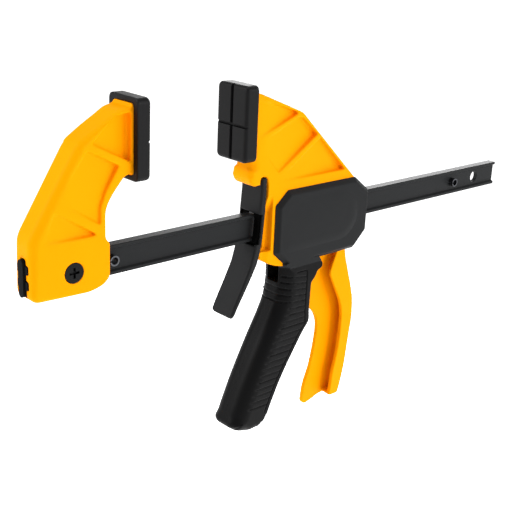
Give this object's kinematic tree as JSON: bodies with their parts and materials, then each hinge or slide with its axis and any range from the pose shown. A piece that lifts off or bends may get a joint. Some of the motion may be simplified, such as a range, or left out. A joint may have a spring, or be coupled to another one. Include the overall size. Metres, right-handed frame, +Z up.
{
  "type": "quick release bar clamp",
  "caption": "One-handed trigger bar clamp: a ribbed jaw fixed on a flat steel bar and a sliding jaw with a pistol grip, a squeeze trigger and a release lever.",
  "frame": {"origin": "centre of the hang hole in the bar's tail, in the middle of the bar's thickness", "axes": "+X along the bar from the jaws to the tail, +Z up from the bar towards the pads, -Y towards the near side panel"},
  "size_m": [0.3787, 0.025, 0.2124],
  "materials": {
    "bar_steel": "satin black oxide",
    "plain_steel": "plain zinc",
    "yellow_nylon": "semi-gloss moulded nylon",
    "black_nylon": "fine matt moulded nylon",
    "black_lever": "satin black",
    "pad_rubber": "satin soft plastic"
  },
  "bodies": {
    "bar_assembly": {"bar": "bar_steel", "head_stop_pin": "plain_steel", "tail_stop_pin": "plain_steel", "fixed_jaw": "yellow_nylon", "fixed_jaw_screw": "bar_steel", "fixed_jaw_nut": "plain_steel", "fixed_jaw_pad": "pad_rubber", "fixed_jaw_end_cap": "black_nylon"},
    "moving_head": {"moving_jaw": "yellow_nylon", "moving_jaw_pad": "pad_rubber", "near_shell": "black_nylon", "far_shell": "black_nylon", "shell_screws": "plain_steel", "trigger_pin": "plain_steel", "drive_spring": "plain_steel", "brake_spring": "plain_steel"},
    "trigger": {"trigger": "yellow_nylon"},
    "drive_plates": {"front_drive_plate": "plain_steel", "rear_drive_plate": "plain_steel"},
    "release_lever": {"release_lever": "black_lever", "brake_plate": "plain_steel"}
  },
  "joints": [
    {"name": "head_slide", "type": "slide", "parent": "bar_assembly", "child": "moving_head", "axis": [1, 0, 0], "range_m": [-0.0619, 0.0934]},
    {"name": "trigger_pivot", "type": "hinge", "parent": "moving_head", "child": "trigger", "pos_m": [-0.15, 0, -0.015], "axis": [0, 1, 0], "range_deg": [0, 28], "stiffness_Nm_per_rad": 0.7, "springref_deg": -17.19},
    {"name": "plate_slide", "type": "slide", "parent": "moving_head", "child": "drive_plates", "axis": [1, 0, 0], "range_m": [0, 0.0091], "deforming": ["drive_spring"]},
    {"name": "lever_pivot", "type": "hinge", "parent": "moving_head", "child": "release_lever", "pos_m": [-0.2067, 0, 0.0297], "axis": [0, -1, 0], "range_deg": [0, 4], "stiffness_Nm_per_rad": 0.5, "springref_deg": -8.59, "deforming": ["brake_spring"]}
  ],
  "couplings": [
    {"joint": "plate_slide", "follows": "trigger_pivot", "m_per_rad": 0.0185}
  ]
}
